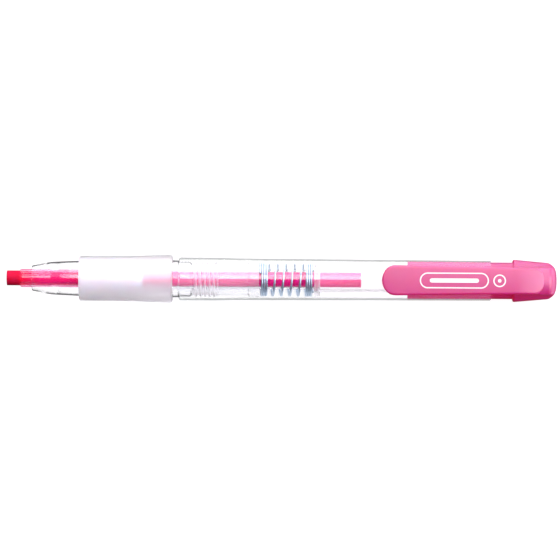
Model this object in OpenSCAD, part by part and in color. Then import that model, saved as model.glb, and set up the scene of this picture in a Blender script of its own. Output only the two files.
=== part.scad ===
// Push-button mechanical highlighter for a thick solid lead.
// The pen lies along X with its writing tip at -X and its clip on top (+Z).
// Stations are distances from the tip of the lead along the pen, in millimetres.
// The origin is under the middle of the pen, on the surface that it lies on.

/* [Overall] */
// Length from the lead's tip to the end of the push cap
total_l = 139.5; // [138.5:0.5:141]
// Travel of the push cap
push_travel = 5.5; // [3:0.1:5.5]

/* [Lead] */
// Diameter of the lead
lead_d = 3.8; // [3.6:0.05:3.8]
// Length of the lead
lead_l = 89.9; // [40:0.1:92]

/* [Chuck] */
// Station of the fingers' front end
chuck_front = 3.4; // [2.5:0.1:4.5]
// Station where the fingers spring from the chuck root
chuck_hinge = 18.5; // [18:0.1:19]
// Radius over the gripping ends of the fingers
chuck_tip_r = 2.3; // [2.2:0.01:2.34]
// Radius over the fingers behind their gripping ends
chuck_shank_r = 2.24; // [2.15:0.01:2.26]
// Width of the slits between the fingers
slit_w = 0.25; // [0.1:0.05:0.5]

/* [Front section] */
// Station of the nose's front face
nose_front = 6.4; // [6.2:0.1:6.6]
// Radius of the nose at its front face
nose_front_r = 3.15; // [2.9:0.05:3.4]
// Radius of the hole in the nose
nose_hole_r = 2.42; // [2.4:0.01:2.5]
// Station where the nose cone meets the grip seat
nose_kink = 11; // [10:0.1:11.2]
// Radius at the end of the nose cone
nose_kink_r = 4.1; // [4:0.05:4.2]
// Radius of the seat under the grip
seat_r = 4.45; // [4.3:0.05:4.6]
// Radius of the bore behind the nose
front_bore_r = 3.6; // [3.5:0.05:3.7]
// Radius over the screw thread
thread_r = 4.56; // [4.4:0.02:4.6]
// Number of turns of the screw thread
thread_turns = 6; // [4:1:7]
// Station of the front section's rear face, where the spring sits
spring_front = 64; // [63.5:0.1:64.5]

/* [Grip] */
// Station of the grip's front edge
grip_front = 18.4; // [18:0.1:19]
// Station of the grip's rear edge
grip_rear = 42.1; // [41.5:0.1:42.4]
// Radius of the grip at its front
grip_front_r = 5.68; // [5.4:0.02:5.9]
// Radius of the grip at its rear, its widest place
grip_rear_r = 6.05; // [6:0.01:6.2]

/* [Barrel] */
// Station of the barrel's front edge
barrel_front = 43.6; // [43.4:0.1:44]
// Station of the barrel's rear edge
barrel_rear = 122.8; // [122:0.1:122.8]
// Radius of the barrel at its front
barrel_front_r = 5.45; // [5.3:0.05:5.6]
// Radius of the barrel at its rear
barrel_rear_r = 5.05; // [5:0.05:5.1]
// Radius of the barrel's bore
barrel_bore_r = 4.66; // [4.62:0.01:4.7]

/* [Spring] */
// Diameter of the wire
wire_d = 0.55; // [0.4:0.05:0.6]
// Radius of the coil at the middle of the wire
coil_r = 4.07; // [3.9:0.01:4.1]
// Open turns in the middle
open_turns = 4.6; // [4:0.1:5]
// Closed turns at each end
closed_turns = 3; // [2:0.25:3.25]

/* [Push assembly] */
// Station of the collar's front face, where the spring's rear end bears
collar_front = 77.9; // [77:0.1:78.5]
// Thickness of the collar
collar_l = 1.6; // [1:0.1:2]
// Radius of the collar
collar_r = 4.5; // [4.36:0.02:4.56]
// Radius of the lead tube
lead_tube_r = 2.6; // [2.5:0.05:2.65]
// Radius of the push tube
push_tube_r = 3.25; // [3:0.05:3.3]
// Radius of the stem in the barrel
stem_r = 4.5; // [4.36:0.02:4.56]
// Station of the stem's front edge
stem_front = 101.6; // [100:0.1:103]
// Station of the cap's front face
cap_front = 128.4; // [128.4:0.1:129]
// Radius of the cap at its front face
cap_front_r = 5.4; // [5.2:0.05:5.6]

/* [Clip] */
// Station of the clip's front end
clip_front = 95; // [93:0.5:97]
// Width of the clip at its front
clip_front_w = 7.75; // [7:0.05:8]
// Width of the clip at its root
clip_root_w = 6.7; // [6.4:0.05:7]
// Thickness of the clip
clip_t = 1.2; // [1:0.05:1.4]
// Height of the clip's underside above the pen's axis
clip_under = 6.15; // [6:0.05:6.3]

/* [Hidden] */
JAWS = 6;

axis_z = grip_rear_r;                  // height of the pen's axis above the surface
lead_r = lead_d / 2;
round_fn = 96;

hinge_gap = 0.15;                      // gap where a finger or the clip's arm bends
small_bevel = 0.1;
jaw_grip_r = lead_r + 0.04;            // the fingers' bore where they hold the lead
jaw_free_r = lead_r + 0.06;
root_r = 3.05;
root_socket_l = 3.7;                   // how far the lead tube goes into the chuck root
root_rear = chuck_hinge + 2.3 + root_socket_l;
lead_bore_r = lead_r + 0.2;            // clearance bore for the lead in the tubes
push_tube_bore_r = 2.7;

bush_front = 18.9;
bush_rear = 34.6;
neck_r = 4.7;                          // collar between the grip and the barrel
shoulder_r = 4.5;                      // plain stretch between that collar and the thread
thread_front = 47;
thread_pitch = 1.15;
tail_r = 4.1;

collar_rear = collar_front + collar_l;
collar_seat_l = 0.6;                   // how far the push tube goes into the collar
cap_dome = 2.6;                        // length of the cap's rounded end
cap_taper_end = total_l - cap_dome;
cap_taper_r = 4.65;
cap_edge = 0.2;
pad_top = clip_under - 0.05;           // the cap's flat under the clip's root
pad_reach = 1.4;                       // how far that flat stands out of the round cap
hinge_station = cap_front + 0.9;       // where the clip's arm bends
plate_end = cap_taper_end - 1;         // rear end of the clip's root plate
plate_end_top = 6.3;
nose_l = 3.4;                          // length of the clip's rounded front end
tail_l = 2.6;                          // length of its plate's rounded rear end

// A body turned about the pen's axis from [radius, station] points.
module turned(points) {
    on_axis() rotate_extrude($fn = round_fn) polygon(points);
}

// Places shapes drawn with z along the pen, from the tip.
module on_axis() {
    translate([-total_l / 2, 0, axis_z]) rotate([0, 90, 0]) children();
}

// Places shapes drawn in x = station, z = height above the pen's axis.
module on_pen() {
    translate([-total_l / 2, 0, axis_z]) children();
}

// Points of a quarter-round edge between two corners of a turned profile.
function quarter(cx, cy, r, from, to, n = 6) =
    [for (i = [0:n]) let (a = from + (to - from) * i / n) [cx + r * cos(a), cy + r * sin(a)]];

// The barrel narrows quickly to this station behind the thread, then slowly.
taper_start = 58;
taper_start_r = barrel_rear_r + 0.25;

module lead() {
    edge = 0.12;
    color([0.93, 0.1, 0.35]) turned([
        [0, 0], [lead_r - edge, 0], [lead_r, edge],
        [lead_r, lead_l - edge], [lead_r - edge, lead_l], [0, lead_l]]);
}

// One sixth of the slotted collet.
module chuck_jaw(i) {
    chamfer = 0.4;
    tip_end = chuck_front + 3.6;       // rear end of the gripping length
    taper_end = tip_end + 0.8;
    step_end = tip_end + 1.2;
    finger_end = chuck_hinge - hinge_gap;
    color([1, 0.62, 0.76]) intersection() {
        turned([
            [jaw_grip_r, chuck_front], [chuck_tip_r - chamfer / 2, chuck_front],
            [chuck_tip_r, chuck_front + chamfer], [chuck_tip_r, tip_end],
            [chuck_shank_r, taper_end], [chuck_shank_r, finger_end],
            [jaw_free_r, finger_end], [jaw_free_r, step_end], [jaw_grip_r, tip_end]]);
        on_axis() rotate(i * 360 / JAWS) jaw_wedge();
    }
}

// The sector of one finger, with half a slit's width taken off each side.
module jaw_wedge() {
    reach = 6;
    half = 180 / JAWS;
    apex = slit_w / 2 / sin(half);
    translate([0, 0, chuck_front - 1]) linear_extrude(chuck_hinge - chuck_front + 2)
        polygon([[apex, 0],
                 [apex + reach * cos(half), reach * sin(half)],
                 [apex + reach * cos(half), -reach * sin(half)]]);
}

module chuck_root() {
    socket_front = root_rear - root_socket_l;
    taper_l = 1;
    color([1, 0.75, 0.84]) turned([
        [jaw_free_r, chuck_hinge], [chuck_shank_r, chuck_hinge], [root_r, chuck_hinge + taper_l],
        [root_r, root_rear], [lead_tube_r, root_rear], [lead_tube_r, socket_front],
        [jaw_free_r, socket_front]]);
}

module lead_tube() {
    color([0.93, 0.95, 0.98]) turned([
        [lead_bore_r, root_rear - root_socket_l], [lead_tube_r, root_rear - root_socket_l],
        [lead_tube_r, collar_rear], [lead_bore_r, collar_rear]]);
}

module guide_bush() {
    inner = root_r + 0.1;
    taper_l = 2;
    color([0.97, 0.96, 0.98]) turned([
        [inner, bush_front], [front_bore_r, bush_front], [front_bore_r, bush_rear - taper_l],
        [inner + 0.12, bush_rear], [inner, bush_rear]]);
}

// Ridges of the screw thread, as separate rings with flanks and crests of equal length.
function thread_points(flank = 0.3) = [
    for (i = [0:thread_turns - 1]) let (u = thread_front + i * thread_pitch) each [
        [tail_r, u], [thread_r, u + flank], [thread_r, u + 2 * flank], [tail_r, u + 3 * flank]]];

module front_section() {
    flange_front = spring_front - 2.8;
    flange_taper = 0.4;
    shoulder_rear = thread_front - 0.4;
    rear_lip_r = front_bore_r - 0.4;
    rear_lip_l = 0.8;
    neck_rear = barrel_front - small_bevel;
    cone_mid_r = 3.25;                 // clears the chuck root when the cap is pushed
    hole_rear_r = nose_hole_r + 0.12;
    color([0.9, 0.92, 0.96]) turned(concat(
        [[nose_hole_r, nose_front], [nose_front_r - small_bevel, nose_front],
         [nose_front_r, nose_front + small_bevel],
         [nose_kink_r, nose_kink], [nose_kink_r + 0.15, nose_kink + 2.8], [seat_r, grip_front - 0.2],
         [seat_r, grip_rear], [neck_r, grip_rear], [neck_r, neck_rear],
         [shoulder_r, neck_rear], [shoulder_r, shoulder_rear], [tail_r, shoulder_rear + flange_taper]],
        thread_points(),
        [[tail_r, flange_front], [collar_r, flange_front + flange_taper],
         [collar_r, spring_front], [rear_lip_r, spring_front],
         [rear_lip_r, spring_front - rear_lip_l], [front_bore_r, spring_front - rear_lip_l],
         [front_bore_r, nose_kink + 5], [cone_mid_r, nose_kink + 2.5],
         [hole_rear_r, nose_kink + 0.4]]));
}

module grip_sleeve() {
    edge = 0.9;
    flare_from = 31;
    flare_to = 38.8;
    color([0.97, 0.93, 0.96]) turned(concat(
        [[seat_r, grip_front]],
        quarter(grip_front_r - edge, grip_front + edge, edge, -90, 0),
        [[grip_front_r, flare_from], [grip_rear_r, flare_to]],
        quarter(grip_rear_r - edge, grip_rear - edge, edge, 0, 90),
        [[seat_r, grip_rear]]));
}

module barrel() {
    bevel = 0.35;
    rear_bevel = 0.15;
    straight_end = thread_front + 6;
    color([0.88, 0.91, 0.96]) turned([
        [barrel_bore_r, barrel_front], [barrel_front_r - bevel, barrel_front],
        [barrel_front_r, barrel_front + bevel], [barrel_front_r, straight_end],
        [taper_start_r, taper_start], [barrel_rear_r, barrel_rear - rear_bevel],
        [barrel_rear_r - rear_bevel, barrel_rear], [barrel_bore_r, barrel_rear]]);
}

// Station of the wire after t turns, with the end turns closed up.
spring_turns = 2 * closed_turns + open_turns;
closed_pitch = wire_d + 0.03;
spring_l = collar_front - spring_front - wire_d;
open_pitch = (spring_l - 2 * closed_turns * closed_pitch) / open_turns;
function wire_station(t) = spring_front + wire_d / 2 + closed_pitch * min(t, closed_turns)
    + open_pitch * max(0, min(t - closed_turns, open_turns))
    + closed_pitch * max(0, t - closed_turns - open_turns);

module return_spring() {
    start_turn = 0.56;                 // where round the pen the wire begins
    steps_per_turn = 16;
    sides = 6;
    n = round(spring_turns * steps_per_turn);
    wire_points = [for (i = [0:n]) let (t = i / steps_per_turn, a = -360 * (t + start_turn))
        for (k = [0:sides - 1]) let (b = 360 * k / sides, r = coil_r + wire_d / 2 * cos(b))
            [r * cos(a), r * sin(a), wire_station(t) + wire_d / 2 * sin(b)]];
    side_faces = [for (i = [0:n - 1]) for (k = [0:sides - 1]) let (j = (k + 1) % sides)
        [i * sides + j, (i + 1) * sides + j, (i + 1) * sides + k, i * sides + k]];
    front_face = [for (k = [sides - 1:-1:0]) k];
    rear_face = [for (k = [0:sides - 1]) n * sides + k];
    color([0.45, 0.52, 0.6]) on_axis()
        polyhedron(wire_points, concat(side_faces, [front_face, rear_face]), convexity = 12);
}

module spring_collar() {
    bevel = 0.15;
    color([0.98, 0.94, 0.97]) turned([
        [lead_tube_r, collar_front], [collar_r - bevel, collar_front], [collar_r, collar_front + bevel],
        [collar_r, collar_rear - bevel], [collar_r - bevel, collar_rear], [push_tube_r, collar_rear],
        [push_tube_r, collar_rear - collar_seat_l], [lead_tube_r, collar_rear - collar_seat_l]]);
}

module push_tube() {
    tube_front = collar_rear - collar_seat_l;
    tube_end = stem_front + 9;
    color([0.92, 0.94, 0.98]) turned([
        [push_tube_bore_r, tube_front], [push_tube_r, tube_front],
        [push_tube_r, tube_end], [push_tube_bore_r, tube_end]]);
}

// The cap's turned outside, from its front face to its rounded end.
function cap_outline(front_r, end_r) = concat(
    [[0, cap_front], [front_r - cap_edge, cap_front], [front_r, cap_front + cap_edge],
     [end_r, cap_taper_end]],
    [for (a = [15:15:90]) [end_r * pow(cos(a), 0.6), cap_taper_end + cap_dome * sin(a)]]);

// The space straight above and below the cap's turned outside, as seen from above.
module cap_plan() {
    edge = cap_outline(cap_front_r, cap_taper_r);
    side = [for (p = edge) [p[1], p[0]]];
    other_side = [for (i = [len(edge) - 2:-1:1]) [edge[i][1], -edge[i][0]]];
    on_pen() linear_extrude(2 * clip_under) polygon(concat(side, other_side));
}

module push_cap() {
    seat_end = stem_front + 9;             // the push tube's rear end stops here
    bore_end = 134;
    stem_bevel = 0.3;
    color([0.93, 0.45, 0.66]) difference() {
        union() {
            turned([
                [0, stem_front], [stem_r - stem_bevel, stem_front], [stem_r, stem_front + stem_bevel],
                [stem_r, cap_front], [0, cap_front]]);
            turned(cap_outline(cap_front_r, cap_taper_r));
            intersection() {
                cap_plan();
                turned(cap_outline(cap_front_r + pad_reach, cap_taper_r + pad_reach));
                on_pen() translate([cap_front, -clip_root_w / 2, 0])
                    cube([total_l - cap_front, clip_root_w, pad_top]);
            }
            clip_plate();
        }
        on_axis() translate([0, 0, stem_front - 1])
            cylinder(h = seat_end - stem_front + 1, r = push_tube_r, $fn = round_fn);
        on_axis() translate([0, 0, stem_front])
            cylinder(h = bore_end - stem_front, r = push_tube_bore_r, $fn = round_fn);
    }
}

// Half the clip's width at a station.
function clip_half(u) = let (t = (u - clip_front) / (hinge_station - clip_front))
    (clip_front_w + (clip_root_w - clip_front_w) * min(t, 1)) / 2;

// The clip seen from above, between two stations; its front end is half an ellipse.
module clip_plan() {
    front_half = clip_half(clip_front + nose_l);
    root_half = clip_half(hinge_station);
    tail_start = plate_end - tail_l;
    side = concat(
        [for (a = [0:10:90]) [clip_front + nose_l * (1 - cos(a)), front_half * sin(a)]],
        [[hinge_station, root_half], [tail_start, root_half]],
        [for (a = [15:15:90]) [tail_start + tail_l * sin(a), root_half * pow(cos(a), 0.7)]]);
    other_side = [for (i = [len(side) - 1:-1:0]) [side[i][0], -side[i][1]]];
    on_pen() linear_extrude(2 * clip_under) polygon(concat(side, other_side));
}

// The clip's section across the pen: a flat top with bevelled edges.
module clip_section() {
    half = clip_front_w / 2;
    bevel = 0.5;
    top = clip_under + clip_t;
    bottom = 4;
    on_pen() rotate([90, 0, 90]) linear_extrude(total_l)
        polygon([[-half, bottom], [half, bottom], [half, top - bevel], [half - bevel, top],
                 [bevel - half, top], [-half, top - bevel]]);
}

// A slice of the clip cut from its plan, its section and a side outline of [station, height] points.
module clip_slice(side_points) {
    intersection() {
        clip_plan();
        clip_section();
        on_pen() translate([0, clip_front_w, 0]) rotate([90, 0, 0])
            linear_extrude(2 * clip_front_w) polygon(side_points);
    }
}

// The part of the clip that is moulded on the cap.
module clip_plate() {
    top = clip_under + clip_t;
    clip_slice([[hinge_station, pad_top - 0.5], [hinge_station, top], [hinge_station + 2, top - 0.15],
                [plate_end, plate_end_top], [plate_end, 5]]);
}

// The arm, with the bump under its front end that holds on to the pocket.
module clip() {
    top = clip_under + clip_t;
    bump_bottom = 5.28;
    bump_from = clip_front + nose_l;
    bump_to = bump_from + 2.2;
    ramp_l = 2;
    tip_bevel = 0.4;
    arm_end = hinge_station - hinge_gap;
    color([0.93, 0.45, 0.66]) clip_slice([
        [clip_front, clip_under + 0.2], [clip_front, top - tip_bevel], [clip_front + tip_bevel, top],
        [arm_end, top],
        [arm_end, clip_under], [bump_to + ramp_l, clip_under], [bump_to, bump_bottom],
        [bump_from, bump_bottom], [bump_from - 2.2, clip_under - 0.2]]);
}

lead();
for (i = [1:JAWS])
    chuck_jaw(i - 1);
chuck_root();
lead_tube();
guide_bush();
front_section();
grip_sleeve();
barrel();
return_spring();
spring_collar();
push_tube();
push_cap();
clip();
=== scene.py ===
# A push-button mechanical highlighter: the visible pieces, built in the frame of its CAD model.
# Profiles and outlines are in millimetres. A station is a distance along the pen from the tip of its lead.

import math

import bmesh
import bpy
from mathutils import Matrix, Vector


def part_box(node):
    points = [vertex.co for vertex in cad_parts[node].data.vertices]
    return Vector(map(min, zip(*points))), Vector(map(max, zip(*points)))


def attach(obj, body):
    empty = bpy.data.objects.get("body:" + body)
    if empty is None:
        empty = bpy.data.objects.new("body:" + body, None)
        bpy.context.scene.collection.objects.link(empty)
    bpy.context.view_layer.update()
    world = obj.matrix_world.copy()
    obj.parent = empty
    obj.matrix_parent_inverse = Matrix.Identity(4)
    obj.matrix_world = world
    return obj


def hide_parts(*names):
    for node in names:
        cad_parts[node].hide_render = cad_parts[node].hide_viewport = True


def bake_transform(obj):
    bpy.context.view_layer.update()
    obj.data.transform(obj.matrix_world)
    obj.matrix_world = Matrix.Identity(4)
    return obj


MM = 0.001
TINY = 1e-6
ROUND = 128  # points around a turned body
CORNER_STEPS = 6
JAWS = 6

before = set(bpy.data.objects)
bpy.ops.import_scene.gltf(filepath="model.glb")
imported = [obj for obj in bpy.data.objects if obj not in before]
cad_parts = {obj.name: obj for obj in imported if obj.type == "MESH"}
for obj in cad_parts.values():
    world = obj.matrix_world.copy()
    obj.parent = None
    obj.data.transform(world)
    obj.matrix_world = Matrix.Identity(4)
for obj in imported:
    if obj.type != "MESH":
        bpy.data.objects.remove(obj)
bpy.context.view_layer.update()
TIP_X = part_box("lead")[0].x
AXIS_Z = (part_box("barrel")[0].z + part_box("barrel")[1].z) / 2


# ---------------------------------------------------------------- places and sizes from the CAD model

def at(station, y=0.0, above=0.0):
    """A point in the row frame from a station, and a place across the pen's axis, in millimetres."""
    return Vector((TIP_X + station * MM, y * MM, AXIS_Z + above * MM))


def span(node):
    """(front station, rear station, largest radius) of a CAD node, in millimetres."""
    low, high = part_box(node)
    return (low.x - TIP_X) / MM, (high.x - TIP_X) / MM, high.y / MM


# ---------------------------------------------------------------- shapes

def rounded(points):
    """Rounds the corners of a closed outline. Each point is (radius, station, size of the rounding)."""
    longest = 0.48  # as a share of a side, so that the roundings at its two ends never meet
    outline = []
    for i, (radius, station, size) in enumerate(points):
        corner = Vector((radius, station))
        if size <= 0:
            outline.append(corner)
            continue
        before = Vector(points[i - 1][:2]) - corner
        after = Vector(points[(i + 1) % len(points)][:2]) - corner
        cut = min(size, longest * before.length, longest * after.length)
        start = corner + before.normalized() * cut
        end = corner + after.normalized() * cut
        for k in range(CORNER_STEPS + 1):
            t = k / CORNER_STEPS
            outline.append(start * (1 - t) ** 2 + corner * 2 * t * (1 - t) + end * t ** 2)
    return outline


def new_object(name, vertices, faces, smooth_angle=35):
    """A smooth-shaded mesh object whose sharp edges stay sharp."""
    mesh = bpy.data.meshes.new(name)
    mesh.from_pydata(vertices, [], faces)
    work = bmesh.new()
    work.from_mesh(mesh)
    bmesh.ops.recalc_face_normals(work, faces=work.faces)
    work.to_mesh(mesh)
    work.free()
    mesh.shade_smooth()
    mesh.set_sharp_from_angle(angle=math.radians(smooth_angle))
    obj = bpy.data.objects.new(name, mesh)
    bpy.context.scene.collection.objects.link(obj)
    return obj


def turned(name, outline, shape=None):
    """A body turned about the pen's axis. shape(radius, station, angle) may change the radius."""
    vertices, rings = [], []
    for radius, station in outline:
        if radius < TINY:
            rings.append([len(vertices)] * ROUND)
            vertices.append(at(station))
            continue
        ring = []
        for k in range(ROUND):
            angle = 2 * math.pi * k / ROUND
            r = shape(radius, station, angle) if shape else radius
            ring.append(len(vertices))
            vertices.append(at(station, r * math.cos(angle), r * math.sin(angle)))
        rings.append(ring)
    faces = []
    for a, b in zip(rings, rings[1:] + rings[:1]):
        for k in range(ROUND):
            corners = [a[k], a[(k + 1) % ROUND], b[(k + 1) % ROUND], b[k]]
            corners = list(dict.fromkeys(corners))
            if len(corners) > 2:
                faces.append(corners)
    return new_object(name, vertices, faces)


def lofted(name, sections, smooth_angle=35):
    """A closed solid through sections that have the same number of points."""
    count = len(sections[0])
    vertices = [point for section in sections for point in section]
    faces = [list(range(count)), list(range(len(vertices) - count, len(vertices)))]
    for i in range(len(sections) - 1):
        a, b = i * count, (i + 1) * count
        for k in range(count):
            n = (k + 1) % count
            faces.append([a + k, a + n, b + n, b + k])
    return new_object(name, vertices, faces, smooth_angle)


def smooth_step(t):
    """Rises softly from 0 to 1 as t goes from 0 to 1."""
    t = min(max(t, 0.0), 1.0)
    return t * t * (3 - 2 * t)


# ---------------------------------------------------------------- materials

NOISE_SPREAD = (0.35, 0.65)  # the noise is seldom outside these values
EDGE_START, EDGE_END = 0.48, 0.68  # 1 less the viewing angle's cosine, where darkening starts and is full
EDGE_STRENGTH = 0.95
MOULDED_IOR = 1.49
TUBE_IOR = 1.45
UNBENT_IOR = 1.0  # a face with this index does not bend light
CLEAR = (0.985, 0.985, 1.0)
CLEAR_SHADE = (0.96, 0.96, 0.98)


def new_material(name, color, roughness, **settings):
    """A Principled material. settings are socket names with _ for a space."""
    material = bpy.data.materials.new(name)
    material.use_nodes = True
    shader = material.node_tree.nodes["Principled BSDF"]
    shader.inputs["Base Color"].default_value = (*color, 1)
    shader.inputs["Roughness"].default_value = roughness
    for key, value in settings.items():
        shader.inputs[key.replace("_", " ")].default_value = value
    return material


def add_noise(material, scale, stretch=(1, 1, 1), detail=4):
    """A noise texture fixed to the piece, with scale in waves per metre. Returns its node."""
    nodes, links = material.node_tree.nodes, material.node_tree.links
    place = nodes.new("ShaderNodeTexCoord")
    mapping = nodes.new("ShaderNodeMapping")
    mapping.inputs["Scale"].default_value = stretch
    noise = nodes.new("ShaderNodeTexNoise")
    noise.inputs["Scale"].default_value = scale
    noise.inputs["Detail"].default_value = detail
    links.new(place.outputs["Object"], mapping.inputs["Vector"])
    links.new(mapping.outputs["Vector"], noise.inputs["Vector"])
    return noise


def add_bump(material, noise, height_mm):
    """Raises the surface by the noise, up to a height in millimetres."""
    nodes, links = material.node_tree.nodes, material.node_tree.links
    bump = nodes.new("ShaderNodeBump")
    bump.inputs["Distance"].default_value = height_mm * MM
    links.new(noise.outputs["Fac"], bump.inputs["Height"])
    links.new(bump.outputs["Normal"], nodes["Principled BSDF"].inputs["Normal"])


def vary_roughness(material, noise, low, high):
    """Lets the roughness follow the noise between two values."""
    nodes, links = material.node_tree.nodes, material.node_tree.links
    spread = nodes.new("ShaderNodeMapRange")
    spread.inputs["To Min"].default_value = low
    spread.inputs["To Max"].default_value = high
    links.new(noise.outputs["Fac"], spread.inputs["Value"])
    links.new(spread.outputs["Result"], nodes["Principled BSDF"].inputs["Roughness"])


def vary_color(material, noise, low, high):
    """Lets the base colour follow the noise between two colours."""
    nodes, links = material.node_tree.nodes, material.node_tree.links
    ramp = nodes.new("ShaderNodeValToRGB")
    ends = ramp.color_ramp.elements
    for end, position, color in zip(ends, NOISE_SPREAD, (low, high)):
        end.position = position
        end.color = (*color, 1)
    links.new(noise.outputs["Fac"], ramp.inputs["Fac"])
    links.new(ramp.outputs["Color"], nodes["Principled BSDF"].inputs["Base Color"])


def redden_tip(material, color, x_from, x_to):
    """Gives the front end another colour, which fades into the base colour between two places along X."""
    nodes, links = material.node_tree.nodes, material.node_tree.links
    shader = nodes["Principled BSDF"]
    place = nodes.new("ShaderNodeTexCoord")
    axes = nodes.new("ShaderNodeSeparateXYZ")
    fade = nodes.new("ShaderNodeMapRange")
    fade.inputs["From Min"].default_value = x_from
    fade.inputs["From Max"].default_value = x_to
    mix = nodes.new("ShaderNodeMix")
    mix.data_type = "RGBA"
    own_color = shader.inputs["Base Color"].links[0].from_socket
    colors = [socket for socket in mix.inputs if socket.type == "RGBA"]
    colors[0].default_value = (*color, 1)
    links.new(place.outputs["Object"], axes.inputs["Vector"])
    links.new(axes.outputs["X"], fade.inputs["Value"])
    links.new(fade.outputs["Result"], mix.inputs["Factor"])
    links.new(own_color, colors[1])
    result = next(socket for socket in mix.outputs if socket.type == "RGBA")
    links.new(result, shader.inputs["Base Color"])


def let_light_through(material, shade, shader=None):
    """Shadow rays pass a clear piece and take on its shade, so that what is inside it is lit."""
    nodes, links = material.node_tree.nodes, material.node_tree.links
    seen = shader.outputs["Shader"] if shader else nodes["Principled BSDF"].outputs["BSDF"]
    path = nodes.new("ShaderNodeLightPath")
    clear = nodes.new("ShaderNodeBsdfTransparent")
    clear.inputs["Color"].default_value = (*shade, 1)
    mix = nodes.new("ShaderNodeMixShader")
    links.new(path.outputs["Is Shadow Ray"], mix.inputs["Fac"])
    links.new(seen, mix.inputs[1])
    links.new(clear.outputs["BSDF"], mix.inputs[2])
    links.new(mix.outputs["Shader"], nodes["Material Output"].inputs["Surface"])


def paint_edge_shade(material, edge_shade_color):
    """Painted shade along the outlines of clear plastic: a grey see-through shader mixed in where a wall is
    seen nearly edge on. Returns the new shader.
    """
    nodes, links = material.node_tree.nodes, material.node_tree.links
    facing = nodes.new("ShaderNodeLayerWeight")
    facing.inputs["Blend"].default_value = 0.5
    grazing = nodes.new("ShaderNodeMapRange")
    grazing.inputs["From Min"].default_value = EDGE_START
    grazing.inputs["From Max"].default_value = EDGE_END
    grazing.inputs["To Max"].default_value = EDGE_STRENGTH
    edge_shade = nodes.new("ShaderNodeBsdfTransparent")
    edge_shade.inputs["Color"].default_value = (*edge_shade_color, 1)
    mix = nodes.new("ShaderNodeMixShader")
    links.new(facing.outputs["Facing"], grazing.inputs["Value"])
    links.new(grazing.outputs["Result"], mix.inputs["Fac"])
    links.new(nodes["Principled BSDF"].outputs["BSDF"], mix.inputs[1])
    links.new(edge_shade.outputs["BSDF"], mix.inputs[2])
    return mix


def make_clear(name, color, shade, edge_shade_color=None, roughness=0.03, transmission=1.0, ior=MOULDED_IOR):
    """A clear piece with very faint flow marks. With an edge shade colour its outline gets painted shade;
    without one it stays clear.
    """
    material = new_material(name, color, roughness, Transmission_Weight=transmission, IOR=ior)
    edges = paint_edge_shade(material, edge_shade_color) if edge_shade_color else None
    marks = add_noise(material, scale=350, stretch=(0.06, 1, 1), detail=2)
    add_bump(material, marks, height_mm=0.00005)
    vary_roughness(material, marks, low=roughness * 0.6, high=roughness * 1.5)
    let_light_through(material, shade, edges)
    return material


def make_lead():
    """Waxy fluorescent lead, streaked lengthwise by extrusion."""
    material = new_material("fluorescent_lead", color=(0.8, 0.006, 0.25), roughness=0.55,
                            Specular_IOR_Level=0.1, Subsurface_Weight=0.6,
                            Subsurface_Radius=(0.9, 0.1, 0.3), Subsurface_Scale=1.2 * MM)
    streaks = add_noise(material, scale=900, stretch=(0.08, 1, 1))
    vary_color(material, streaks, low=(0.79, 0.004, 0.21), high=(0.85, 0.008, 0.24))
    redden_tip(material, color=(0.76, 0.006, 0.06), x_from=at(3.4).x, x_to=at(9).x)
    add_bump(material, streaks, height_mm=0.012)
    return material


def make_grip():
    """Frosted elastomer with a fine matt texture from the mould."""
    material = new_material("frosted_elastomer", color=(0.95, 0.92, 0.945), roughness=0.4,
                            Transmission_Weight=0.97, IOR=1.42, Subsurface_Weight=0.3,
                            Subsurface_Scale=1.5 * MM)
    texture = add_noise(material, scale=3500)
    add_bump(material, texture, height_mm=0.01)
    vary_roughness(material, texture, low=0.34, high=0.46)
    let_light_through(material, shade=(0.9, 0.88, 0.92))
    return material


def make_milky():
    """Natural polypropylene, cloudy white."""
    material = new_material("milky_plastic", color=(0.93, 0.9, 0.95), roughness=0.35,
                            Subsurface_Weight=0.6, Subsurface_Scale=1.0 * MM, Transmission_Weight=0.15)
    cloud = add_noise(material, scale=600)
    vary_color(material, cloud, low=(0.9, 0.87, 0.93), high=(0.95, 0.93, 0.97))
    let_light_through(material, shade=(0.55, 0.5, 0.55))
    return material


def make_pink():
    """Pink-dyed plastic with a broad soft gloss and a slight waviness from the mould.
    Red light scatters far in it, and a weak red painted glow lifts its shaded sides."""
    # The emission is a painted glow that brightens the pink's shaded sides without a lamp.
    material = new_material("pink_plastic", color=(0.37, 0.007, 0.2), roughness=0.42,
                            Specular_IOR_Level=1.0, Coat_Weight=1.0, Coat_Roughness=0.5,
                            Subsurface_Weight=0.9, Subsurface_Radius=(1.0, 0.06, 0.25),
                            Subsurface_Scale=4.0 * MM,
                            Emission_Color=(1.0, 0.0, 0.09, 1.0), Emission_Strength=0.3)
    waves = add_noise(material, scale=450)
    vary_color(material, waves, low=(0.36, 0.005, 0.195), high=(0.38, 0.009, 0.205))
    vary_roughness(material, waves, low=0.39, high=0.45)
    add_bump(material, waves, height_mm=0.005)
    return material


def make_steel():
    """Drawn spring wire, satin and slightly blue."""
    material = new_material("spring_steel", color=(0.5, 0.61, 0.74), roughness=0.36, Metallic=1.0)
    drawn = add_noise(material, scale=4000)
    vary_roughness(material, drawn, low=0.32, high=0.4)
    add_bump(material, drawn, height_mm=0.0008)
    return material


def make_print():
    """White pad-printing ink, slightly uneven."""
    material = new_material("white_print", color=(0.93, 0.87, 0.91), roughness=0.5)
    grain = add_noise(material, scale=5000)
    vary_roughness(material, grain, low=0.4, high=0.6)
    add_bump(material, grain, height_mm=0.004)
    return material


# The edge shade colours below are painted shade along the outlines of the clear pieces.
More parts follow.
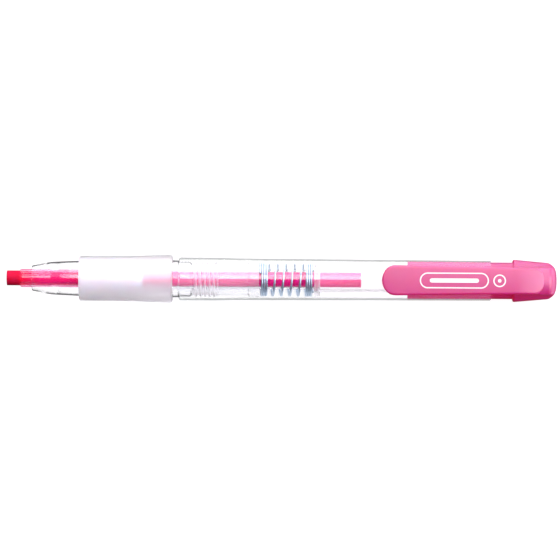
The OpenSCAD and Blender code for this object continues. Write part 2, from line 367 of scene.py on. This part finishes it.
clear_plastic = make_clear("clear_plastic", CLEAR, CLEAR_SHADE, edge_shade_color=(0.7, 0.71, 0.71), roughness=0.02)
clear_bore = make_clear("clear_bore", CLEAR, CLEAR_SHADE, roughness=0.02)
stem_contact = make_clear("stem_contact", CLEAR, CLEAR_SHADE, roughness=0.0, ior=UNBENT_IOR)
nose_plastic = make_clear("nose_plastic", CLEAR, CLEAR_SHADE, edge_shade_color=(0.32, 0.32, 0.33))
neck_plastic = make_clear("neck_plastic", CLEAR, CLEAR_SHADE, edge_shade_color=(0.42, 0.42, 0.43),
                          transmission=0.88)
hidden_wall = make_clear("hidden_wall", CLEAR, CLEAR_SHADE, transmission=0.87)
thread_haze = make_clear("thread_haze", (0.97, 0.95, 0.97), (0.9, 0.88, 0.9),
                         roughness=0.3, transmission=0.82)
clear_tube = make_clear("clear_tube", (0.98, 0.97, 0.99), (0.95, 0.94, 0.96), edge_shade_color=(0.95, 0.94, 0.96),
                        roughness=0.04, ior=TUBE_IOR)
hazy_tube = make_clear("hazy_tube", (0.995, 0.98, 0.99), (0.93, 0.92, 0.94), edge_shade_color=(0.97, 0.95, 0.97),
                       roughness=0.1, transmission=0.95, ior=TUBE_IOR)
chuck_plastic = make_clear("chuck_plastic", (1.0, 0.6, 0.8), (0.97, 0.8, 0.88), edge_shade_color=(0.9, 0.5, 0.7),
                           roughness=0.1)
lead_wax = make_lead()
grip_rubber = make_grip()
milky_plastic = make_milky()
pink_plastic = make_pink()
spring_steel = make_steel()
white_ink = make_print()


def dress(obj, material, body=None, node=None):
    """Gives a piece its material, and its body where it has one of its own; hides the CAD node that it
    replaces.
    """
    obj.data.materials.append(material)
    if body:
        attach(obj, body)
    if node:
        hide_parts(node)
    return obj


def give_faces(obj, material, chosen):
    """Gives the faces for which chosen(station, radius) is true a material of their own."""
    obj.data.materials.append(material)
    index = len(obj.data.materials) - 1
    for face in obj.data.polygons:
        station = (face.center.x - TIP_X) / MM
        radius = math.hypot(face.center.y, face.center.z - AXIS_Z) / MM
        if chosen(station, radius):
            face.material_index = index


# ---------------------------------------------------------------- lead and chuck

CHUCK_BORE = 1.96
CHUCK_SHANK = 2.24


def make_lead_piece():
    """A plain rod with slightly rounded ends."""
    front, rear, radius = span("lead")
    outline = rounded([(0, front, 0), (radius, front, 0.16), (radius, rear, 0.1), (0, rear, 0)])
    dress(turned("lead_rod", outline), lead_wax, "lead", "lead")


def make_jaw(index):
    """One finger of the slotted collet, with rounded edges at its free end."""
    front, rear, _ = span("chuck_jaw_4")  # the finger that points straight up
    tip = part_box("chuck_jaw_4")[1].z / MM - AXIS_Z / MM
    bore, grip_end = 1.94, front + 3.6
    half_slit, segments = 0.14, 14
    outline = rounded([
        (bore, front, 0.06), (tip - 0.1, front, 0.1), (tip, front + 0.4, 0.25), (tip, grip_end, 0.2),
        (CHUCK_SHANK, grip_end + 0.8, 0.2), (CHUCK_SHANK, rear, 0), (CHUCK_BORE, rear, 0),
        (CHUCK_BORE, grip_end + 1.2, 0), (bore, grip_end, 0)])
    middle = math.radians(360 / JAWS * index - 90)
    sections = []
    for k in range(segments + 1):
        share = 2 * k / segments - 1
        section = []
        for r, station in outline:
            angle = middle + share * (math.pi / JAWS - half_slit / r)
            section.append(at(station, r * math.cos(angle), r * math.sin(angle)))
        sections.append(section)
    node = f"chuck_jaw_{index + 1}"
    dress(lofted(f"chuck_finger_{index + 1}", sections), chuck_plastic, node, node)


def make_chuck_root():
    """The ring that the fingers spring from, with a socket for the lead tube."""
    front, rear, radius = span("chuck_root")
    tube_front, _, tube_radius = span("lead_tube")
    outline = rounded([
        (CHUCK_BORE, front, 0), (CHUCK_SHANK, front, 0.1), (radius, front + 1, 0.3), (radius, rear, 0.15),
        (tube_radius, rear, 0), (tube_radius, tube_front, 0), (CHUCK_BORE, tube_front, 0)])
    dress(turned("chuck_base", outline), chuck_plastic, "push_cap", "chuck_root")


# ---------------------------------------------------------------- tubes and bushes

LEAD_TUBE_BORE = 2.1
PUSH_TUBE_BORE = 2.7


def make_sleeve(name, node, inner, material, body):
    """A plain tube with softened edges."""
    front, rear, radius = span(node)
    edge = 0.12
    outline = rounded([(inner, front, edge), (radius, front, edge),
                       (radius, rear, edge), (inner, rear, edge)])
    dress(turned(name, outline), material, body, node)


def make_guide_bush():
    """The milky sleeve that hides the lead under the front of the grip, thinned out at its rear."""
    front, rear, radius = span("guide_bush")
    inner = 3.15
    outline = rounded([(inner, front, 0.1), (radius, front, 0.15), (radius, rear - 2, 0.6),
                       (inner + 0.12, rear, 0.05), (inner, rear, 0.05)])
    dress(turned("guide_sleeve", outline), milky_plastic, "barrel", "guide_bush")


def make_spring_collar():
    """The flange that the spring pushes on, with a socket for the push tube."""
    front, rear, radius = span("spring_collar")
    tube, socket = span("lead_tube")[2], span("push_tube")[2]
    socket_end = rear - 0.6
    outline = rounded([(tube, front, 0), (radius, front, 0.2), (radius, rear, 0.2), (socket, rear, 0),
                       (socket, socket_end, 0), (tube, socket_end, 0)])
    dress(turned("collar", outline), hazy_tube, "push_cap", "spring_collar")


# ---------------------------------------------------------------- front section, grip and barrel

THREAD_FRONT = 47.0
THREAD_PITCH = 1.15
THREAD_TURNS = 6
THREAD_ROOT = 4.1
THREAD_TOP = 4.56
THREAD_LENGTH = THREAD_TURNS * THREAD_PITCH
THREAD_END = THREAD_FRONT + THREAD_LENGTH
THREAD_ROWS = 140
THREAD_FADE = 0.6
GRIP_SEAT = 4.45
FRONT_BORE_LIMIT = 3.62  # the bore of the front section lies within this radius


def threaded(radius, station, angle):
    """Raises a helical ridge on the stretch of the front section that screws into the barrel."""
    along = station - THREAD_FRONT
    if not 0 <= along <= THREAD_LENGTH or abs(radius - THREAD_ROOT) > 0.01:
        return radius
    phase = (along / THREAD_PITCH - angle / (2 * math.pi)) % 1
    ridge = 0.5 - 0.5 * math.cos(2 * math.pi * phase)
    fade = smooth_step(along / THREAD_FADE) * smooth_step((THREAD_LENGTH - along) / THREAD_FADE)
    return radius + (THREAD_TOP - THREAD_ROOT) * ridge * fade


def on_ridge(station, radius):
    """Whether a face is on the raised part of the screw thread."""
    return THREAD_FRONT < station < THREAD_END and radius > THREAD_ROOT + 0.1


def dress_front_section(body):
    """Each stretch of the moulding has its own haze and painted outline shade: bore, thread, wall in the
    barrel, neck.
    """
    grip_front, _, _ = span("grip_sleeve")

    def in_bore(station, radius):
        return radius < FRONT_BORE_LIMIT

    def in_barrel(station, radius):
        return station > THREAD_FRONT and not in_bore(station, radius) and not on_ridge(station, radius)

    def on_neck(station, radius):
        return grip_front < station <= THREAD_FRONT and not in_bore(station, radius)

    give_faces(body, clear_bore, in_bore)
    give_faces(body, thread_haze, on_ridge)
    give_faces(body, hidden_wall, in_barrel)
    give_faces(body, neck_plastic, on_neck)


def make_front_section():
    """Nose cone, seat for the grip, neck, screw thread, and a flange for the spring, in one moulding."""
    front, rear, _ = span("front_section")
    grip_front, grip_rear, _ = span("grip_sleeve")
    flange = span("spring_collar")[2]
    neck_rear = span("barrel")[0] - 0.1
    thread = []
    for k in range(THREAD_ROWS + 1):
        thread.append((THREAD_ROOT, THREAD_FRONT + THREAD_LENGTH * k / THREAD_ROWS, 0))
    outline = rounded([
        (2.42, front, 0.1), (3.15, front, 0.2), (4.1, 11, 0.9), (4.25, 13.8, 1.2),
        (GRIP_SEAT, grip_front - 0.2, 0.6), (GRIP_SEAT, grip_rear, 0), (4.7, grip_rear, 0.12),
        (4.7, neck_rear, 0.12), (4.5, neck_rear, 0.1), (4.5, THREAD_FRONT - 0.4, 0.1), *thread,
        (THREAD_ROOT, rear - 2.8, 0), (flange, rear - 2.4, 0.2), (flange, rear, 0.15), (3.2, rear, 0.1),
        (3.2, rear - 0.8, 0), (3.6, rear - 0.8, 0), (3.6, 16, 0.8), (3.25, 13.5, 0.6), (2.54, 11.4, 0.4)])
    body = turned("front_body", outline, threaded)
    dress(body, nose_plastic, "barrel", "front_section")
    dress_front_section(body)


def make_grip_piece():
    """A sleeve that swells towards its rear."""
    front, rear, radius = span("grip_sleeve")
    slim = 5.68
    outline = rounded([(GRIP_SEAT, front, 0.1), (slim, front, 0.95), (slim, 31, 6), (radius, 38.8, 3),
                       (radius, rear, 0.95), (GRIP_SEAT, rear, 0.1)])
    dress(turned("grip", outline), grip_rubber, "barrel", "grip_sleeve")


def make_barrel_piece():
    """A thin tube. Its bore does not bend light where the stem lies in it, as if the two touched there."""
    front, rear, radius = span("barrel")
    end_radius, bore = 5.05, 4.66
    stem_front = span("push_cap")[0]
    outline = rounded([
        (bore, front, 0.05), (radius - 0.35, front, 0.1), (radius, front + 0.35, 0.2), (radius, 53, 3),
        (end_radius + 0.25, 58, 4), (end_radius, rear, 0.18), (bore, rear, 0.1), (bore, stem_front, 0)])
    tube = turned("barrel_tube", outline)
    dress(tube, clear_plastic, "barrel", "barrel")
    limit = bore + 0.02
    give_faces(tube, clear_bore, lambda station, radius: radius < limit)
    give_faces(tube, stem_contact, lambda station, radius: radius < limit and station > stem_front)


# ---------------------------------------------------------------- spring

WIRE_R = 0.275
COIL_R = 4.07
CLOSED_TURNS = 3
OPEN_TURNS = 4.6
CLOSED_PITCH = 0.58
START_TURN = 0.06
STEPS_PER_TURN = 64
WIRE_SIDES = 14


def wire_station(turn, front, rear):
    """Station of the wire after some turns: closed coils, open coils, closed coils."""
    length = rear - front - 2 * WIRE_R
    open_pitch = (length - 2 * CLOSED_TURNS * CLOSED_PITCH) / OPEN_TURNS
    closed_1 = min(turn, CLOSED_TURNS)
    opened = max(0.0, min(turn - CLOSED_TURNS, OPEN_TURNS))
    closed_2 = max(0.0, turn - CLOSED_TURNS - OPEN_TURNS)
    return front + WIRE_R + CLOSED_PITCH * (closed_1 + closed_2) + open_pitch * opened


def make_spring():
    """The coil between the front section and the collar, with closed coils at both ends and open coils
    between.
    """
    front, rear = span("front_section")[1], span("spring_collar")[0]
    steps = round((2 * CLOSED_TURNS + OPEN_TURNS) * STEPS_PER_TURN)
    sections = []
    for i in range(steps + 1):
        turn = i / STEPS_PER_TURN
        angle = math.pi / 2 - 2 * math.pi * (turn + START_TURN)
        centre = wire_station(turn, front, rear)
        section = []
        for k in range(WIRE_SIDES):
            side = 2 * math.pi * k / WIRE_SIDES
            r = COIL_R + WIRE_R * math.cos(side)
            section.append(at(centre + WIRE_R * math.sin(side), r * math.cos(angle), r * math.sin(angle)))
        sections.append(section)
    spring = dress(lofted("coil_spring", sections, smooth_angle=60), spring_steel)
    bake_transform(spring)
    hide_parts("return_spring")


# ---------------------------------------------------------------- push cap and clip

CAP_FRONT = 128.4
CAP_TAPER_END = 136.9
CAP_FRONT_R = 5.4
CAP_END_R = 4.65
CAP_LIP = 0.35
PAD_HALF = 3.35
PAD_TOP = 6.1
PAD_REACH = 1.4  # the most that the flat pad under the clip stands out of the round cap
STEM_R = 4.64
CLIP_TOP = 7.35
CLIP_UNDER = 6.15
CLIP_NOSE = 3.4
HINGE = 129.3
PLATE_END = 135.9


def cap_radius(station, rear):
    """Radius of the round part of the cap: it narrows, then ends in a dome."""
    if station <= CAP_TAPER_END:
        share = (station - CAP_FRONT) / (CAP_TAPER_END - CAP_FRONT)
        lip = 1 - math.sqrt(max(0.0, 1 - (1 - min(1, (station - CAP_FRONT) / CAP_LIP)) ** 2))
        return CAP_FRONT_R + (CAP_END_R - CAP_FRONT_R) * share - CAP_LIP * lip
    share = (station - CAP_TAPER_END) / (rear - CAP_TAPER_END)
    bluntness = 0.42
    return CAP_END_R * max(0.0, 1 - share ** 2) ** bluntness


def cap_reach(radius, angle):
    """Distance from the axis to the cap's surface, with the flat pad under the clip blended in."""
    across, up = abs(math.cos(angle)), math.sin(angle)
    level, widest, nearest = 0.05, 0.97, 0.85
    if up <= level:
        return radius
    half = min(PAD_HALF, widest * radius)
    pad = min(PAD_TOP / up, half / max(across, TINY), radius + PAD_REACH * radius / CAP_FRONT_R)
    if pad <= radius * nearest:
        return radius
    sharpness = 10
    return (radius ** sharpness + pad ** sharpness) ** (1 / sharpness)


def cap_stations(rear):
    """Stations along the cap: close together on its front lip and towards the end of its dome."""
    lip_rows, taper_rows, dome_rows = 6, 14, 16
    taper_front = CAP_FRONT + CAP_LIP
    stations = [CAP_FRONT + CAP_LIP * k / lip_rows for k in range(lip_rows)]
    stations += [taper_front + (CAP_TAPER_END - taper_front) * k / taper_rows for k in range(taper_rows + 1)]
    for k in range(1, dome_rows + 1):
        stations.append(CAP_TAPER_END + (rear - CAP_TAPER_END) * math.sin(math.pi / 2 * k / dome_rows))
    return stations


def make_cap():
    """The round cap with the pad that carries the clip."""
    rear = span("push_cap")[1]
    count, least_radius = 160, 0.02
    sections = []
    for station in cap_stations(rear):
        radius = max(cap_radius(station, rear), least_radius)
        section = []
        for k in range(count):
            angle = 2 * math.pi * k / count
            r = min(cap_reach(radius, angle), radius + PAD_REACH)
            section.append(at(station, r * math.cos(angle), r * math.sin(angle)))
        sections.append(section)
    cap = lofted("cap", sections, smooth_angle=40)
    dress(cap, pink_plastic, "push_cap", "push_cap")


def make_stem():
    """The cap's stem, which all but touches the barrel's bore, with a socket for the push tube."""
    front, rear = span("push_cap")[0], CAP_FRONT + 0.2
    _, tube_end, tube_radius = span("push_tube")
    outline = rounded([(tube_radius, front, 0.1), (STEM_R, front, 0.3), (STEM_R, rear, 0),
                       (PUSH_TUBE_BORE, rear, 0), (PUSH_TUBE_BORE, tube_end, 0), (tube_radius, tube_end, 0)])
    dress(turned("cap_stem", outline), pink_plastic, "push_cap")


def clip_half_width(station, front):
    """Half the clip's width: an elliptical front end, straight sides, and a rounded rear end."""
    widest, least, tail, tail_bluntness = 3.875, 0.05, 2.6, 0.4
    share = min(max((station - front) / (HINGE - front), 0), 1)
    half = widest + (PAD_HALF - widest) * share
    if station < front + CLIP_NOSE:
        half *= math.sqrt(max(0.0, 1 - (1 - (station - front) / CLIP_NOSE) ** 2))
    if station > PLATE_END - tail:
        half *= max(0.0, 1 - ((station - PLATE_END + tail) / tail) ** 2) ** tail_bluntness
    return max(half, least)


def clip_heights(station, front):
    """(underside, top) above the axis, with the bump under the front end that holds on to a pocket."""
    bump, bump_front, bump_flat_end = 5.28, front + 1.2, front + 5.6
    front_slope, rear_slope = 2.2, 2.0
    rise = smooth_step((station - bump_front) / front_slope)
    fall = smooth_step((station - bump_flat_end) / rear_slope)
    under = CLIP_UNDER - (CLIP_UNDER - bump) * rise * (1 - fall)
    edge = 0.4
    into_nose = min(max((station - front) / edge, 0), 1)
    top = CLIP_TOP - edge * (1 - math.sqrt(1 - (1 - into_nose) ** 2))
    if station > HINGE:
        share = (station - HINGE) / (PLATE_END - HINGE)
        plate_end_top, curve = 6.3, 1.5
        depth_in_pad, slope = 0.5, 0.6
        top = CLIP_TOP - (CLIP_TOP - plate_end_top) * share ** curve
        under = PAD_TOP - depth_in_pad - slope * share
    return under, top


def clip_section(station, front):
    """One cross-section of the clip: flat below, with large rounded edges on top."""
    half = clip_half_width(station, front)
    under, top = clip_heights(station, front)
    lower_edge, largest_edge, edge_share = 0.12, 0.55, 0.6
    upper_edge = min(largest_edge, half * edge_share, (top - under) * edge_share)
    right = [(half - lower_edge, under), (half, under + lower_edge), (half, top - upper_edge)]
    for k in range(1, CORNER_STEPS + 1):
        angle = math.pi / 2 * k / CORNER_STEPS
        right.append((half - upper_edge * (1 - math.cos(angle)), top - upper_edge * (1 - math.sin(angle))))
    left = [(-y, z) for y, z in reversed(right)]
    return [at(station, y, z) for y, z in right + left]


def clip_stations(front):
    """Stations along the clip: close together at its rounded ends, its bump and its root."""
    nose_rows, bump_rows, tail_rows = 14, 30, 18
    bump_step, arm_step, root_step = 0.3, 1.0, 0.25
    root_half = 2.5
    stations = [front + CLIP_NOSE * (1 - math.cos(math.pi / 2 * k / nose_rows)) for k in range(nose_rows)]
    stations += [front + CLIP_NOSE + bump_step * k for k in range(1, bump_rows)]
    arm = front + CLIP_NOSE + bump_step * bump_rows
    arm_rows = math.ceil((HINGE - root_half - arm) / arm_step)
    stations += [arm + arm_step * k for k in range(arm_rows)]
    stations += [HINGE - root_half + root_step * k for k in range(round(2 * root_half / root_step))]
    tail = HINGE + root_half
    for k in range(1, tail_rows + 1):
        stations.append(tail + (PLATE_END - tail) * math.sin(math.pi / 2 * k / tail_rows))
    return sorted(set(round(station, 4) for station in stations))


def make_clip():
    """The clip, from its nose to its root on the cap."""
    front = span("clip")[0]
    sections = [clip_section(station, front) for station in clip_stations(front)]
    clip = lofted("clip_arm", sections, smooth_angle=40)
    dress(clip, pink_plastic)
    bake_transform(clip)
    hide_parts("clip")


# ---------------------------------------------------------------- the print on the clip

INK_BELOW = 0.01
INK_ABOVE = 0.02
PILL_POINTS = 64


def flat_print(name, outer, inner=None):
    """Thin ink between an outer outline and an optional inner one, both of (station, y) points."""
    count = len(outer)
    low, high = CLIP_TOP - INK_BELOW, CLIP_TOP + INK_ABOVE
    vertices = [at(s, y, z) for z in (low, high) for s, y in outer]
    faces = [[k, (k + 1) % count, count + (k + 1) % count, count + k] for k in range(count)]
    if inner:
        base = len(vertices)
        vertices += [at(s, y, z) for z in (low, high) for s, y in inner]
        for k in range(count):
            n = (k + 1) % count
            faces.append([base + k, base + n, base + count + n, base + count + k])
            faces.append([count + k, count + n, base + count + n, base + count + k])
            faces.append([k, n, base + n, base + k])
    else:
        faces += [list(range(count)), list(range(count, 2 * count))]
    dress(new_object(name, vertices, faces), white_ink, "clip")


def pill(centre, length, width):
    """A rounded bar's outline, as (station, y) points."""
    points = []
    for k in range(PILL_POINTS):
        angle = 2 * math.pi * (k + 0.5) / PILL_POINTS
        shift = math.copysign((length - width) / 2, math.cos(angle))
        points.append((centre + shift + width / 2 * math.cos(angle), width / 2 * math.sin(angle)))
    return points


def framed_pill(name, centre, length, width):
    """A rounded bar drawn as a line."""
    line = 0.32
    flat_print(name, pill(centre, length, width), pill(centre, length - 2 * line, width - 2 * line))


def make_print_pieces():
    """A plain mark: a bar in a frame, and a dot in a ring."""
    bar_centre, dot_centre = 113.2, 124.6
    framed_pill("print_frame", bar_centre, length=17.4, width=4.0)
    flat_print("print_bar", pill(bar_centre, length=12.4, width=1.1))
    framed_pill("print_ring", dot_centre, length=3.2, width=3.2)
    flat_print("print_dot", pill(dot_centre, length=0.9, width=0.9))


# ---------------------------------------------------------------- studio

def make_floor():
    """A pale floor with a low rim far away, which closes the view from the side. Diffuse and glossy light
    from the pen does not meet it, so that the lights alone shape the pen."""
    half, rim = 3.0, 0.4
    corners = [(-half, -half), (half, -half), (half, half), (-half, half)]
    vertices = [Vector((x, y, z)) for z in (0, rim) for x, y in corners]
    walls = [[k, (k + 1) % 4, 4 + (k + 1) % 4, 4 + k] for k in range(4)]
    floor = new_object("floor", vertices, [[0, 1, 2, 3]] + walls)
    material = new_material("pale_floor", color=(0.25, 0.25, 0.25), roughness=0.9,
                            Emission_Color=(1, 1, 1, 1), Emission_Strength=0.9)
    floor.data.materials.append(material)
    floor.visible_diffuse = False
    floor.visible_glossy = False


def make_light(name, place, size, radiance, aim=(0, 0, 0)):
    """A rectangular soft light with a given brightness of its face."""
    data = bpy.data.lights.new(name, "AREA")
    data.shape = "RECTANGLE"
    data.size, data.size_y = size
    data.energy = radiance * math.pi * size[0] * size[1]
    light = bpy.data.objects.new(name, data)
    light.location = place
    light.rotation_euler = (Vector(aim) - Vector(place)).to_track_quat("-Z", "Y").to_euler()
    bpy.context.scene.collection.objects.link(light)


def make_lights():
    """Soft boxes beside the pen, over it and beyond its cap, and two white cards that lie near it."""
    make_light("side_box", place=(0.08, 0.346, 0.2), size=(0.46, 0.29), radiance=3.4, aim=(0.08, 0, 0))
    make_light("top_box", place=(0.08, 0.169, 0.3625), size=(0.46, 0.214), radiance=1.35, aim=(0.08, 0, 0))
    make_light("end_light", place=(0.48, 0.0, 0.375), size=(0.45, 0.6), radiance=4.0)
    make_light("overhead", place=(0, 0.27, 1.1), size=(0.5, 0.5), radiance=3.0)
    make_light("side_card", place=(0, 0.112, 0.0005), size=(0.4, 0.2), radiance=1.4, aim=(0, 0.112, 1))
    make_light("end_card", place=(0.18, 0, 0.0005), size=(0.2, 0.1), radiance=1.4, aim=(0.18, 0, 1))


def make_studio():
    """A dim room, the floor and the lights, with enough light bounces for clear parts inside clear parts."""
    bounces, room_color = 24, (0.045, 0.045, 0.047, 1)
    scene = bpy.context.scene
    scene.view_settings.view_transform = "Standard"
    scene.cycles.max_bounces = bounces
    scene.cycles.transmission_bounces = bounces
    scene.cycles.transparent_max_bounces = bounces
    world = bpy.data.worlds.new("dim_room")
    world.use_nodes = True
    world.node_tree.nodes["Background"].inputs["Color"].default_value = room_color
    scene.world = world
    make_floor()
    make_lights()


def make_camera():
    """Straight above the pen, far away, and turned a little about the line of sight."""
    shift_x, shift_y, distance = -0.43, -0.13, 790.2
    roll = 0.35
    data = bpy.data.cameras.new("camera")
    data.lens = 200.0
    data.clip_start = 0.01
    camera = bpy.data.objects.new("camera", data)
    camera.location = (shift_x * MM, shift_y * MM, AXIS_Z + distance * MM)
    camera.rotation_euler = (0, 0, math.radians(roll))
    bpy.context.scene.collection.objects.link(camera)
    bpy.context.scene.camera = camera


make_camera()
make_studio()
make_lead_piece()
for number in range(JAWS):
    make_jaw(number)
make_chuck_root()
make_sleeve("lead_guide", "lead_tube", LEAD_TUBE_BORE, clear_tube, "push_cap")
make_sleeve("push_rod_tube", "push_tube", PUSH_TUBE_BORE, hazy_tube, "push_cap")
make_guide_bush()
make_spring_collar()
make_front_section()
make_grip_piece()
make_barrel_piece()
make_spring()
make_cap()
make_stem()
make_clip()
make_print_pieces()
